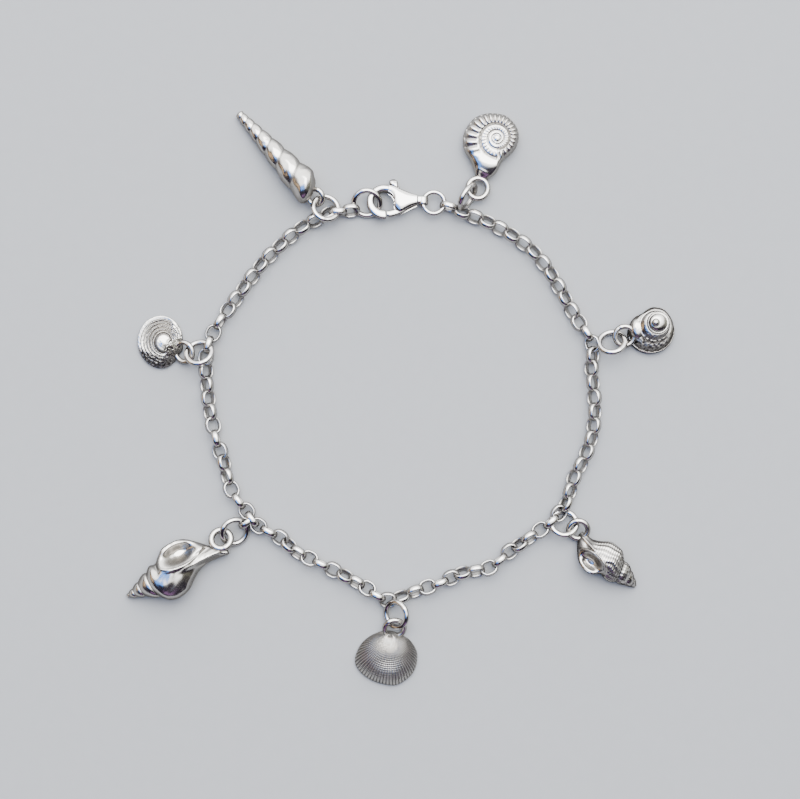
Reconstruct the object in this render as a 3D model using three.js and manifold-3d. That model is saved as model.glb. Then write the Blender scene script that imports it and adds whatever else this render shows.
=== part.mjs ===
// A shell anklet of sterling silver: a belcher chain closed into a loop by a sprung hook clasp, with seven
// cast shell charms that each hang on a round jump ring. It lies on a table as it is stored, fastened.
// Millimetres. +Z is up and the table is z = 0. The origin is the middle of the ground that it covers.

import * as THREE from 'three';
import { mergeVertices } from 'three/addons/utils/BufferGeometryUtils.js';
import Module from 'manifold-3d';

const wasm = await Module();
wasm.setup();

// Driving sizes, in millimetres and degrees.
const LINK = { length: 3.66, width: 3.2, thick: 0.47, band: 1.25 };
const CHAIN_HEIGHT = LINK.width;
const JUMP_RING = { radius: 2.52, wire: 0.46 };
const CATCH_RING = { radius: 2.62, wire: 0.42 };
const CLASP_RING = { radius: 2.12, wire: 0.36 };
const SHELL_WALL = 0.9;

// The clasp lies a little on its side, because its hook rests on the catch ring.
const CLASP_LEAN = -8;
const CLASP_MIDDLE = [-3.35, 38.14, 1.6];
const PLATE = 2.3;
const SLOT = 1.4;
const LEVER = { thick: 0.9, hole: 0.55, pin: 0.35 };

const silver = { color: 0xdcdad6, roughness: 0.22, metalness: 1 };
const shine = { color: 0xe6e5e2, roughness: 0.14, metalness: 1 };
const cast = { color: 0xcfccc6, roughness: 0.3, metalness: 1 };

const anklet = new THREE.Group();
const rad = THREE.MathUtils.degToRad;

/** One named piece, with a material of its own, at its place on the table. */
function piece(name, geometry, finish, { at = [0, 0, 0], azimuth = 0, parent = anklet } = {}) {
  const mesh = new THREE.Mesh(geometry, new THREE.MeshStandardMaterial(finish));
  mesh.name = name;
  mesh.position.set(...at);
  mesh.rotation.z = rad(azimuth);
  parent.add(mesh);
  return mesh;
}

/** A closed skin over rows of points. The last row joins the first, or each end closes on its own middle. */
function skin(rows, joined = false) {
  const count = rows[0].length;
  const points = rows.flat();
  const faces = [];
  const turns = joined ? rows.length : rows.length - 1;
  for (let row = 0; row < turns; row += 1) {
    const here = row * count;
    const next = ((row + 1) % rows.length) * count;
    for (let side = 0; side < count; side += 1) {
      const after = (side + 1) % count;
      faces.push(here + side, here + after, next + after, here + side, next + after, next + side);
    }
  }
  if (!joined) {
    for (const row of [0, rows.length - 1]) {
      const middle = new THREE.Vector3();
      rows[row].forEach((point) => middle.addScaledVector(point, 1 / count));
      const tip = points.push(middle) - 1;
      for (let side = 0; side < count; side += 1) {
        const pair = [row * count + side, row * count + ((side + 1) % count)];
        if (row === 0) pair.reverse();
        faces.push(pair[0], pair[1], tip);
      }
    }
  }
  let volume = 0;
  for (let face = 0; face < faces.length; face += 3) {
    const [a, b, c] = [points[faces[face]], points[faces[face + 1]], points[faces[face + 2]]];
    volume += a.dot(new THREE.Vector3().crossVectors(b, c));
  }
  const geometry = new THREE.BufferGeometry().setFromPoints(points);
  geometry.setIndex(volume < 0 ? faces.reverse() : faces);
  return geometry;
}

/** The solid that a closed geometry bounds. */
function solid(geometry) {
  const bare = geometry.clone();
  bare.deleteAttribute('normal');
  bare.deleteAttribute('uv');
  const merged = mergeVertices(bare, 1e-4);
  const vertProperties = new Float32Array(merged.attributes.position.array);
  const triVerts = new Uint32Array(merged.index.array);
  return new wasm.Manifold(new wasm.Mesh({ numProp: 3, vertProperties, triVerts }));
}

/** The geometry of a solid. */
function shape(body) {
  const mesh = body.getMesh();
  const geometry = new THREE.BufferGeometry();
  geometry.setAttribute('position', new THREE.BufferAttribute(new Float32Array(mesh.vertProperties), 3));
  geometry.setIndex(new THREE.BufferAttribute(new Uint32Array(mesh.triVerts), 1));
  return geometry;
}

/** A wire ring whose plane goes down toward an azimuth by the angle of tilt. */
function ring({ radius, wire }, { at = [0, 0, 0], tilt = 0, azimuth = 0, segments = 20 } = {}) {
  const geometry = new THREE.TorusGeometry(radius, wire, 6, segments);
  geometry.rotateY(rad(tilt)).rotateZ(rad(azimuth)).translate(...at);
  return geometry;
}

// ---- Chain links ----
// A belcher link is half-round wire bent to a short oval. It turns about its long axis by roll, then its
// far end rises by pitch, and then its long axis points to azimuth.
const LINK_STATIONS = 14;
const LINK_SIDES = 6;

function link({ at, azimuth, roll = 0, pitch = 0 }) {
  const bow = (LINK.width - LINK.thick) / 2;
  const straight = (LINK.length - LINK.width) / 2;
  const rows = [];
  for (let station = 0; station < LINK_STATIONS; station += 1) {
    const turn = ((station + 0.5) / LINK_STATIONS) * 2 * Math.PI;
    const row = [];
    for (let side = 0; side < LINK_SIDES; side += 1) {
      const angle = ((side + 0.5) / LINK_SIDES) * 2 * Math.PI;
      const reach = bow + Math.cos(angle) * (LINK.thick / 2);
      const x = Math.cos(turn) * reach + Math.sign(Math.cos(turn)) * straight;
      row.push(new THREE.Vector3(x, Math.sin(turn) * reach, Math.sin(angle) * (LINK.band / 2)));
    }
    rows.push(row);
  }
  const geometry = skin(rows, true);
  geometry.rotateX(rad(roll)).rotateY(rad(-pitch)).rotateZ(rad(azimuth)).translate(...at);
  return geometry;
}

// The links that rings and neighbours are threaded through, one by one.
const LINKS = {
  link_catch: { at: [-9.81, 37.11, 1.49], azimuth: 21, roll: 140, pitch: -7 },
  link_auger: { at: [-12.21, 36.65, 1.61], azimuth: 5, roll: 64, pitch: -5 },
  link_auger_beside: { at: [-14.58, 36.13, 1.22], azimuth: 17, roll: -13, pitch: 10 },
  link_auger_after: { at: [-15.39, 34.73, 1.53], azimuth: 65, roll: 52, pitch: -1 },
  link_clasp: { at: [9.19, 37.31, 1.72], azimuth: -16, roll: 77, pitch: 1 },
  link_ammonite: { at: [11.46, 36.62, 2.07], azimuth: -36, roll: 8, pitch: 8 },
  link_clam: { at: [-37.48, 10.38, 1.63], azimuth: -111, roll: 98, pitch: -2 },
  link_clam_after: { at: [-38.05, 8.02, 1.29], azimuth: -92, pitch: -3 },
  link_top_shell: { at: [37.98, 10.8, 1.71], azimuth: 15, roll: 24, pitch: 6.5 },
  link_whelk_before: { at: [-29.47, -22.3, 1.88], azimuth: -28, roll: -77, pitch: 24 },
  link_whelk: { at: [-30.06, -24.07, 1.61], azimuth: 33, roll: 114, pitch: -1 },
  link_whelk_middle: { at: [-28.4, -23.3, 1.62], azimuth: 9, roll: 11, pitch: -4 },
  link_whelk_after: { at: [-27.01, -24.81, 1.79], azimuth: -55, roll: 78, pitch: 51 },
  link_cockle: { at: [-2.38, -39.47, 1.64], azimuth: -32, roll: -40, pitch: 1 },
  link_cockle_after: { at: [-0.97, -39.33, 1.63], azimuth: 10, roll: 42, pitch: 33 },
  link_netted: { at: [29.26, -23.93, 2.1], azimuth: 10, roll: 75, pitch: 3 },
  link_netted_after: { at: [31.24, -22.99, 2.29], azimuth: 71, roll: 1, pitch: -5 },
};
for (const [name, place] of Object.entries(LINKS)) {
  piece(name, link(place), silver);
}

// ---- Chain runs ----
// Between those links the chain is one tube with eight sides along its route, on the table.
const CHAIN_RUNS = {
  chain_auger_to_clam: [
    [-17.3, 34.3], [-23.57, 29.7], [-27.37, 25.8], [-30.67, 21.4], [-33.67, 17.2], [-36.6, 12.6],
  ],
  chain_clam_to_whelk: [
    [-37.97, 5.9], [-37.77, -0.2], [-36.87, -5.5], [-35.27, -10.5], [-33.57, -15.4], [-31.2, -20.6],
  ],
  chain_whelk_to_cockle: [
    [-25.2, -26.7], [-21.77, -28.6], [-18.27, -31.6], [-13.27, -33.2], [-8.77, -35.8], [-4.57, -38.2],
  ],
  chain_cockle_to_netted: [
    [1.4, -38.2], [6.53, -36.7], [11.93, -34.0], [17.13, -33.1], [21.93, -29.8], [27.13, -25.2],
  ],
  chain_netted_to_top_shell: [
    [32.13, -20.9], [34.53, -15.3], [36.53, -10.5], [37.53, -5.3], [37.53, 0.1], [37.03, 5.5], [37.13, 9.0],
  ],
  chain_top_shell_to_ammonite: [
    [37.03, 12.7], [34.63, 14.9], [32.03, 19.3], [29.43, 24.0], [25.93, 28.4], [21.63, 31.7], [17.03, 34.3], [13.53, 35.7],
  ],
};
const RUN_STEP = 2.5 * CHAIN_HEIGHT;

for (const [name, route] of Object.entries(CHAIN_RUNS)) {
  const middle = CHAIN_HEIGHT / 2;
  const curve = new THREE.CatmullRomCurve3(route.map(([x, y]) => new THREE.Vector3(x, y, middle)));
  const corner = middle / Math.cos(Math.PI / 8);
  const section = new THREE.Shape();
  for (let side = 0; side < 8; side += 1) {
    const angle = ((side + 0.5) / 8) * 2 * Math.PI;
    section[side === 0 ? 'moveTo' : 'lineTo'](Math.cos(angle) * corner, Math.sin(angle) * corner);
  }
  const steps = Math.ceil(curve.getLength() / RUN_STEP);
  piece(name, new THREE.ExtrudeGeometry(section, { steps, extrudePath: curve }), silver);
}

// ---- Jump rings, catch ring and clasp ring ----
const JUMP_RINGS = {
  jump_ring_auger: { at: [-14.65, 36.9, 2.4], tilt: 28, azimuth: 52 },
  jump_ring_ammonite: { at: [12.87, 39.05, 2.85], tilt: 71, azimuth: -32 },
  jump_ring_clam: { at: [-39.24, 8.77, 2.57], tilt: 35, azimuth: 106 },
  jump_ring_top_shell: { at: [41.01, 10.85, 2.05], tilt: 38, azimuth: 103 },
  jump_ring_whelk: { at: [-32.41, -26.13, 1.7], tilt: 28, azimuth: -40 },
  jump_ring_cockle: { at: [-0.97, -42.05, 2.55], tilt: 38, azimuth: 192 },
  jump_ring_netted_whelk: { at: [31.67, -24.35, 1.59], tilt: 26, azimuth: 81 },
};
for (const [name, place] of Object.entries(JUMP_RINGS)) {
  piece(name, ring(JUMP_RING, place), shine);
}
piece('catch_ring', ring(CATCH_RING, { at: [-6.7, 37.97, 1.52], tilt: 24, azimuth: -92 }), shine);
piece('clasp_ring', ring(CLASP_RING, { at: [6.33, 38.05, 1.6] }), shine);

// ---- Charms ----
// Each charm has its own frame on the table: its loop is at the origin and x points out along the shell.
const CHARMS = {
  auger_charm: { at: [-16.67, 39.06], azimuth: 132.4, loop: { radius: 1.55, wire: 0.44, z: 2.28, tilt: 28, facing: -135 } },
  ammonite_charm: { at: [14.91, 40.78], azimuth: 76, loop: { radius: 1.95, wire: 0.53, z: 1.66, tilt: 5, facing: -12 } },
  clam_charm: { at: [-42.28, 8.92], azimuth: 168, loop: { radius: 1.95, wire: 0.43, z: 2.32, tilt: 12, facing: -61 } },
  top_shell_charm: { at: [43.45, 12.07], azimuth: 4.5, loop: { radius: 1.9, wire: 0.42, z: 2.0, tilt: 12, facing: -90 } },
  whelk_charm: { at: [-35, -27.44], azimuth: -156.7, loop: { radius: 1.93, wire: 0.53, z: 2.21, tilt: 21, facing: 98 } },
  cockle_charm: { at: [-1.32, -44.85], azimuth: -97.4, loop: { radius: 1.95, wire: 0.42, z: 1.9, tilt: 12, facing: 0 } },
  netted_whelk_charm: { at: [34.45, -25.61], azimuth: -44.2, loop: { radius: 1.9, wire: 0.44, z: 1.74, tilt: 19, facing: -98 } },
};

/** A cast shell and the wire loop soldered to it, as one piece. */
function charm(name, body) {
  const { at, azimuth, loop } = CHARMS[name];
  const place = { at: [0, 0, loop.z], tilt: loop.tilt, azimuth: loop.facing - azimuth, segments: 16 };
  const whole = body.add(solid(ring(loop, place)));
  piece(name, shape(whole), cast, { at: [...at, 0], azimuth });
}

/** Rows of an upright oval section along x, from a table with columns x, right, left and height. */
function ovals(table, sides, foot = 0.05) {
  return table.map(({ x, right, left, height }) => {
    const row = [];
    for (let side = 0; side < sides; side += 1) {
      const angle = ((side + 0.5) / sides) * 2 * Math.PI;
      const y = (left + right) / 2 + Math.cos(angle) * ((left - right) / 2);
      const z = foot + (height / 2) * (1 + Math.sin(angle));
      row.push(new THREE.Vector3(x, y, z));
    }
    return row;
  });
}

/** A rounded hollow to scoop out of a shell. */
function scoop({ at, reach, turn }) {
  const geometry = new THREE.SphereGeometry(1, 12, 8);
  geometry.scale(...reach).rotateZ(rad(turn)).translate(...at);
  return solid(geometry);
}

// Auger: a long cone wound in seven turns, lying along its side. Each seam between turns is a shallow groove.
const AUGER = { base: 1.3, apex: 26.62, tip: 22.45, spread: 0.122, seam: 0.16, foot: 0.05, rows: 26, sides: 12 };
const AUGER_WINDING = { lastSeam: 20.75, growth: 1.258 };

function augerBody() {
  const rows = [];
  const first = AUGER.apex - AUGER.base;
  const last = AUGER.apex - AUGER.tip;
  const lean = Math.atan(AUGER.spread);
  for (let row = 0; row <= AUGER.rows; row += 1) {
    const along = row / AUGER.rows;
    const reach = first * (last / first) ** along;
    const nose = Math.sqrt(Math.min(1, 0.35 + 6 * along));
    const points = [];
    for (let side = 0; side < AUGER.sides; side += 1) {
      const angle = (side / AUGER.sides) * 2 * Math.PI;
      const grown = Math.log(reach / AUGER_WINDING.lastSeam) / Math.log(AUGER_WINDING.growth);
      const turns = grown + side / AUGER.sides - 0.25;
      const bulge = 1 - AUGER.seam * Math.abs(Math.cos(turns * Math.PI)) ** 6;
      const radius = AUGER.spread * reach * nose * bulge;
      const height = Math.sin(lean) * reach + AUGER.foot;
      points.push(new THREE.Vector3(AUGER.apex - reach, Math.cos(angle) * radius, height + Math.sin(angle) * radius));
    }
    rows.push(points);
  }
  return solid(skin(rows));
}
charm('auger_charm', augerBody());

// Ammonite: a flat coil. The whorl is a closed ring of uneven width round a low boss, and runs into a smooth neck.
const AMMONITE = { boss: 3.5, bossHeight: 2.4, height: 3.2, stations: 20, sides: 8 };
const AMMONITE_MIDDLE = [10.24, -1.25];
const AMMONITE_WHORL = [
  { turn: 270, inner: 2.8, outer: 4.2 },
  { turn: 210, inner: 2.9, outer: 4.75 },
  { turn: 150, inner: 3.0, outer: 6.1 },
  { turn: 90, inner: 3.2, outer: 6.5 },
  { turn: 30, inner: 3.2, outer: 5.9 },
  { turn: -30, inner: 3.1, outer: 4.7 },
  { turn: -90, inner: 2.8, outer: 4.2 },
];

function ammoniteBody() {
  const [middleX, middleY] = AMMONITE_MIDDLE;
  const rows = [];
  for (let station = 0; station < AMMONITE.stations; station += 1) {
    const place = (station / AMMONITE.stations) * (AMMONITE_WHORL.length - 1);
    const before = Math.floor(place);
    const between = (key) => THREE.MathUtils.lerp(
      AMMONITE_WHORL[before][key],
      AMMONITE_WHORL[before + 1][key],
      place - before,
    );
    const points = [];
    for (let side = 0; side < AMMONITE.sides; side += 1) {
      const angle = ((side + 0.5) / AMMONITE.sides) * 2 * Math.PI;
      const middle = (between('inner') + between('outer')) / 2;
      const reach = middle + Math.cos(angle) * (between('outer') - middle);
      const x = middleX + Math.cos(rad(between('turn'))) * reach;
      const y = middleY + Math.sin(rad(between('turn'))) * reach;
      points.push(new THREE.Vector3(x, y, (AMMONITE.height / 2) * (1 + Math.sin(angle))));
    }
    rows.push(points);
  }
  const boss = new THREE.SphereGeometry(1, 14, 6);
  boss.scale(AMMONITE.boss, AMMONITE.boss, AMMONITE.bossHeight / 2).translate(middleX, middleY, AMMONITE.height / 2);
  const neck = [
    { x: 2.0, right: -1.7, left: 1.1, height: 2.2 },
    { x: 3.4, right: -2.2, left: 1.8, height: 2.7 },
    { x: 5.0, right: -2.9, left: 2.9, height: 3.1 },
    { x: 6.6, right: -3.5, left: 4.3, height: 3.2 },
    { x: 8.2, right: -3.2, left: 4.9, height: 3.1 },
  ];
  return solid(skin(rows, true)).add(solid(boss)).add(solid(skin(ovals(neck, AMMONITE.sides, 0))));
}
charm('ammonite_charm', ammoniteBody());

/** A domed half shell, hollow behind: a rim on the table, and rows that close on its crown. */
function dome(outline, crown, height, levels) {
  const row = (level, inset, top) => outline.map(([x, y]) => {
    const reach = Math.cos(level * Math.PI / 2) * (1 - inset);
    const swell = Math.sin(level * Math.PI / 2) * top;
    return new THREE.Vector3(crown[0] + (x - crown[0]) * reach, crown[1] + (y - crown[1]) * reach, swell);
  });
  const steps = Array.from({ length: levels }, (_, step) => step / levels);
  const outside = steps.map((level) => row(level, 0, height));
  const inset = SHELL_WALL / 5;
  const inside = steps.map((level) => row(level, inset, height - SHELL_WALL)).reverse();
  return solid(skin([...inside, ...outside]));
}

// Clam: a heart-shaped half shell with its beak close to the loop.
const CLAM = { crown: [4.0, -0.7], height: 3.1, levels: 4 };
const CLAM_OUTLINE = [
  [0.75, -1.63], [1.38, -3.69], [2.7, -5.2], [4.46, -6.01], [6.43, -5.89], [8.34, -4.59], [9.31, -2.6], [9.43, -0.38],
  [8.57, 1.82], [7.06, 3.29], [5.31, 4.02], [3.54, 3.94], [2.14, 3.04], [1.24, 1.66], [0.87, 0.58], [0.5, -0.49],
];
charm('clam_charm', dome(CLAM_OUTLINE, CLAM.crown, CLAM.height, CLAM.levels));

// Cockle: a round ribbed half shell with its beak at the loop.
const COCKLE = { crown: [4.6, -0.6], height: 3.5, levels: 4 };
const COCKLE_OUTLINE = [
  [0.99, -2.32], [2.25, -4.52], [4.02, -6.05], [6.08, -6.77], [7.65, -6.76], [8.92, -6.01], [10.1, -4.48],
  [10.84, -2.62], [11.17, -0.61], [11.08, 1.53], [10.09, 3.17], [8.54, 4.54], [6.89, 5.11], [5.12, 5.18],
  [3.61, 4.69], [2.02, 3.3], [1.26, 1.64], [0.71, -0.2],
];
charm('cockle_charm', dome(COCKLE_OUTLINE, COCKLE.crown, COCKLE.height, COCKLE.levels));

// Top shell: low turns that step up to a blunt apex, on a flat base.
const TOP_SHELL_APEX = [6.49, 1.83];
const TOP_SHELL_OUTLINE = [
  [0.72, 0.53], [1.44, 2.23], [2.52, 3.51], [3.94, 4.18], [5.37, 5.04], [6.55, 5.15], [8.07, 4.64], [9.15, 3.38],
  [9.79, 1.57], [9.84, -0.19], [9.12, -1.89], [8.06, -2.97], [6.64, -3.64], [4.68, -3.78], [2.78, -3.15],
  [1.5, -2.07], [0.81, -0.84],
];
const TOP_SHELL_STEPS = [
  { z: 0, reach: 0.9 },
  { z: 0.6, reach: 1 },
  { z: 1.7, reach: 0.98 },
  { z: 2.7, reach: 0.8 },
  { z: 3.0, reach: 0.6 },
  { z: 3.7, reach: 0.5 },
  { z: 4.0, reach: 0.32 },
  { z: 4.5, reach: 0.2 },
];

function topShellBody() {
  const [apexX, apexY] = TOP_SHELL_APEX;
  const rows = TOP_SHELL_STEPS.map(({ z, reach }) => TOP_SHELL_OUTLINE.map(
    ([x, y]) => new THREE.Vector3(apexX + (x - apexX) * reach, apexY + (y - apexY) * reach, z),
  ));
  return solid(skin(rows));
}
charm('top_shell_charm', topShellBody());

// Whelk: a wide body turn with a short spire, its mouth upward and its canal toward the loop.
const WHELK_ROWS = [
  { x: -0.2, right: 2.3, left: 3.3, height: 2.6 },
  { x: 1.4, right: 1.1, left: 3.2, height: 3.1 },
  { x: 3.2, right: -0.2, left: 3.2, height: 3.5 },
  { x: 4.8, right: -1.6, left: 3.6, height: 4.0 },
  { x: 6.2, right: -2.7, left: 4.3, height: 4.6 },
  { x: 7.6, right: -3.3, left: 5.5, height: 5.2 },
  { x: 9.4, right: -3.25, left: 6.8, height: 5.7 },
  { x: 11.3, right: -2.8, left: 7.5, height: 5.8 },
  { x: 12.7, right: -1.3, left: 7.2, height: 5.5 },
  { x: 13.4, right: -0.4, left: 6.9, height: 5 },
  { x: 14.7, right: -0.6, left: 6.5, height: 4.6 },
  { x: 16.3, right: 0.5, left: 5.5, height: 3.6 },
  { x: 17.5, right: 0.9, left: 4.8, height: 2.9 },
  { x: 18.6, right: 1.6, left: 4.4, height: 2.2 },
  { x: 20.2, right: 2.2, left: 3.7, height: 1.3 },
  { x: 21.1, right: 2.8, left: 3.3, height: 0.6 },
];
const WHELK_MOUTH = { at: [8.3, 0.4, 5.2], reach: [3.2, 1.6, 2.2], turn: -4 };
charm('whelk_charm', solid(skin(ovals(WHELK_ROWS, 12))).subtract(scoop(WHELK_MOUTH)));

// Netted whelk: a plump body turn and a stepped spire, its mouth upward.
const NETTED_ROWS = [
  { x: 0.9, right: -0.8, left: 0.3, height: 1.2 },
  { x: 2.0, right: -2.4, left: 0.55, height: 2.2 },
  { x: 3.1, right: -3.7, left: 0.6, height: 3.0 },
  { x: 4.5, right: -4.5, left: 1.6, height: 4.0 },
  { x: 6.1, right: -4.8, left: 2.7, height: 4.8 },
  { x: 7.5, right: -4.5, left: 3.0, height: 5.1 },
  { x: 9.0, right: -3.2, left: 2.75, height: 5.0 },
  { x: 10.6, right: -3.25, left: 2.1, height: 4.5 },
  { x: 12.2, right: -2.85, left: 2.0, height: 3.7 },
  { x: 13.7, right: -2.2, left: 1.5, height: 2.9 },
  { x: 15.0, right: -1.3, left: 0.8, height: 1.8 },
  { x: 15.85, right: -0.5, left: 0.1, height: 0.8 },
];
const NETTED_MOUTH = { at: [5.6, -2.5, 4.2], reach: [2.6, 1.4, 2.2], turn: 0 };
charm('netted_whelk_charm', solid(skin(ovals(NETTED_ROWS, 12))).subtract(scoop(NETTED_MOUTH)));

// ---- Clasp ----
// A lobster clasp: a cast body with a round hook, slotted for the lever, a pivot pin across the slot, and an
// eye for the clasp ring. In the clasp's own frame the hook's middle is the origin and z = 0 halfway up.
const HOOK = { outer: 3.37, holeX: 2.0, holeY: 1.81, holeRise: 0.14, from: 62, to: 277, stations: 14 };
const PIVOT = [3.6, -1.26];
const EYE = { at: [7.6, 0.21], outer: 1.0, hole: 0.66, length: 1.2 };
const clasp = new THREE.Group();
clasp.position.set(...CLASP_MIDDLE);
clasp.rotation.x = rad(CLASP_LEAN);
anklet.add(clasp);

/** A flat plate of an outline, centred on z = 0. */
function plate(outline, thick) {
  const flat = new THREE.Shape(outline.map(([x, y]) => new THREE.Vector2(x, y)));
  return new THREE.ExtrudeGeometry(flat, { depth: thick, bevelEnabled: false }).translate(0, 0, -thick / 2);
}

function hookBody() {
  const rows = [];
  for (let station = 0; station <= HOOK.stations; station += 1) {
    const along = station / HOOK.stations;
    const angle = rad(HOOK.from + (HOOK.to - HOOK.from) * along);
    const half = THREE.MathUtils.lerp(PLATE / 2, 0.5, Math.min(1, along * 3));
    const row = [];
    for (let side = 0; side < 8; side += 1) {
      const turn = ((side + 0.5) / 8) * 2 * Math.PI;
      const share = (1 + Math.cos(turn) / Math.cos(Math.PI / 8)) / 2;
      const x = Math.cos(angle) * THREE.MathUtils.lerp(HOOK.holeX, HOOK.outer, share);
      const inner = Math.sin(angle) * HOOK.holeY + HOOK.holeRise;
      const y = THREE.MathUtils.lerp(inner, Math.sin(angle) * HOOK.outer, share);
      row.push(new THREE.Vector3(x, y, Math.sin(turn) * half / Math.cos(Math.PI / 8)));
    }
    rows.push(row);
  }
  return solid(skin(rows));
}

function claspBody() {
  const cheeks = plate([
    [1.15, 3.17], [1.36, 3.19], [2.73, 2.73], [4.09, 2.04], [6.42, 1.25], [6.42, -0.45], [5.84, -0.54],
    [4.67, -1.36], [3.21, -2.14], [2.76, -1.93], [1.64, -0.9], [1.95, -0.3], [1.95, 0.5], [1.6, 1.2], [0.68, 1.84],
  ], PLATE);
  const slot = plate([
    [1.0, -0.35], [2.43, -0.35], [2.43, 1.1], [1.85, 2.2], [1.2, 3.2], [1.2, 5], [5.28, 5], [5.28, 1.9],
    [4.93, 0.5], [4.6, -0.7], [4.6, -4], [1.0, -4],
  ], SLOT);
  const pin = new THREE.CylinderGeometry(LEVER.pin, LEVER.pin, PLATE - 0.2, 12);
  pin.rotateX(Math.PI / 2).translate(...PIVOT, 0);
  const [eyeX, eyeY] = EYE.at;
  const tab = plate([[6.3, -0.39], [eyeX, -0.39], [eyeX, 0.81], [6.3, 0.81]], 2 * EYE.outer - 0.2);
  const eye = new THREE.CylinderGeometry(EYE.outer, EYE.outer, EYE.length, 16);
  eye.translate(eyeX, eyeY, 0);
  const hole = new THREE.CylinderGeometry(EYE.hole, EYE.hole, EYE.length * 2, 12);
  hole.translate(eyeX, eyeY, 0);
  return hookBody()
    .add(solid(cheeks))
    .subtract(solid(slot))
    .add(solid(pin))
    .add(solid(tab))
    .add(solid(eye))
    .subtract(solid(hole));
}
piece('clasp_body', shape(claspBody()), cast, { parent: clasp });

// The lever turns on the pin. Its short arm closes the mouth and its long arm ends in a thumb knob.
function leverBody() {
  const outline = plate([
    [0.63, -2.8], [0.95, -3.0], [3.2, -2.3], [3.95, -2.05], [4.4, -1.5], [4.3, -0.7], [3.85, 0.2], [3.75, 1.4],
    [3.3, 2.5], [2.7, 3.5], [2.75, 4.0], [2.2, 4.45], [1.5, 4.3], [1.3, 3.75], [1.75, 3.0], [2.35, 2.0],
    [2.65, 1.0], [2.7, 0.1], [2.6, -0.8], [2.2, -1.2], [0.63, -1.75],
  ], LEVER.thick);
  const hole = new THREE.CylinderGeometry(LEVER.hole, LEVER.hole, PLATE, 12);
  hole.rotateX(Math.PI / 2).translate(...PIVOT, 0);
  return solid(outline).subtract(solid(hole));
}
piece('clasp_lever', shape(leverBody()), shine, { parent: clasp });

export default anklet;
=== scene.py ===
import bpy
import numpy as np
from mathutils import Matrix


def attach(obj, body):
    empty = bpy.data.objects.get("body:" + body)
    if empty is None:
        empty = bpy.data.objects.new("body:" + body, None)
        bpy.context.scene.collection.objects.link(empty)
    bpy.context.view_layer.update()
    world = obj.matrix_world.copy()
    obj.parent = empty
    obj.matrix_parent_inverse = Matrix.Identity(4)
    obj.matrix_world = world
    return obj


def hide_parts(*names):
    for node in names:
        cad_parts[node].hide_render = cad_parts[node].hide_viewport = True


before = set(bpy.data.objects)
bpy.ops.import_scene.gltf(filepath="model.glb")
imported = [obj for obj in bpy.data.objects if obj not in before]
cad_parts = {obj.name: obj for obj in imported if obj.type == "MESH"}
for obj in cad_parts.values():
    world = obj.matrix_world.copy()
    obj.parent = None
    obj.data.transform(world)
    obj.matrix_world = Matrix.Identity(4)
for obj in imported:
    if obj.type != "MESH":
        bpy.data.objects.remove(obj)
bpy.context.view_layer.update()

# ---- Camera and light ----
# The anklet lies on a table and is looked at from straight above, from reading distance. A large
# white panel on the far side lights it, with a dim warm one to the left and a dim violet one on
# the near side.
EYE_HEIGHT, AIM_HEIGHT = 0.4, 0.0016
VIEW_WIDTH, SENSOR_WIDTH = 0.1557, 36
VIEW_MIDDLE = (-0.00023, -0.00029)

camera = bpy.data.objects.new("camera", bpy.data.cameras.new("camera"))
camera.location = (*VIEW_MIDDLE, EYE_HEIGHT)
camera.data.sensor_width = SENSOR_WIDTH
camera.data.lens = SENSOR_WIDTH * (EYE_HEIGHT - AIM_HEIGHT) / VIEW_WIDTH
camera.data.clip_start = 0.01
bpy.context.scene.collection.objects.link(camera)
bpy.context.scene.camera = camera


def linear(code):
    """An sRGB hex colour as linear red, green, blue and alpha."""
    share = np.array([int(code[place:place + 2], 16) for place in (1, 3, 5)]) / 255
    bent = np.where(share <= 0.04045, share / 12.92, ((share + 0.055) / 1.055) ** 2.4)
    return (*bent.tolist(), 1.0)


def node(tree, kind, inputs=None, **settings):
    """A node of that kind with its settings. Each input, by name or number, gets a value or
    another node's output."""
    made = tree.nodes.new(kind)
    for name, value in settings.items():
        setattr(made, name, value)
    for name, value in (inputs or {}).items():
        known = {socket.name: socket for socket in made.inputs if socket.enabled}
        socket = known[name] if isinstance(name, str) else made.inputs[name]
        if isinstance(value, bpy.types.NodeSocket):
            tree.links.new(value, socket)
        else:
            socket.default_value = value
    return made


def out(made):
    """The node's own result: its first output that is in use."""
    return next(socket for socket in made.outputs if socket.enabled)


def panel(name, place, size, power, colour):
    """A soft light panel that faces the middle of the table."""
    light = bpy.data.lights.new(name, "AREA")
    light.shape = "RECTANGLE"
    light.size, light.size_y = size
    light.energy = power
    light.color = linear(colour)[:3]
    lamp = bpy.data.objects.new(name, light)
    lamp.location = place
    away = np.array(place) / np.linalg.norm(place)
    lamp.rotation_euler = (np.arccos(away[2]), 0, np.arctan2(away[1], away[0]) + np.pi / 2)
    bpy.context.scene.collection.objects.link(lamp)


panel("overhead_panel", place=(0.06, 0.3, 0.58), size=(0.62, 0.5), power=5.6, colour="#FFFFFF")
panel("left_panel", place=(-0.58, -0.05, 0.24), size=(0.3, 0.2), power=0.16, colour="#F2CDA0")
panel("near_panel", place=(-0.05, -0.55, 0.28), size=(0.4, 0.2), power=0.12, colour="#B884C8")

# The room itself: a wide skylight that leans to the far side, and a small blue window high up to
# the left. The walls are olive on the far side and to the right, brown to the left, and violet on
# the near side. The edges are cosines of the angle from the middle, from outside to full light.
SKYLIGHT_TOWARD, SKYLIGHT_EDGE, SKYLIGHT_STRENGTH = (0.05, 0.6, 0.8), (0.46, 0.72), 3.2
WINDOW_TOWARD, WINDOW_EDGE, WINDOW_STRENGTH = (-0.4, -0.17, 0.9), (0.94, 0.97), 1.9

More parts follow.
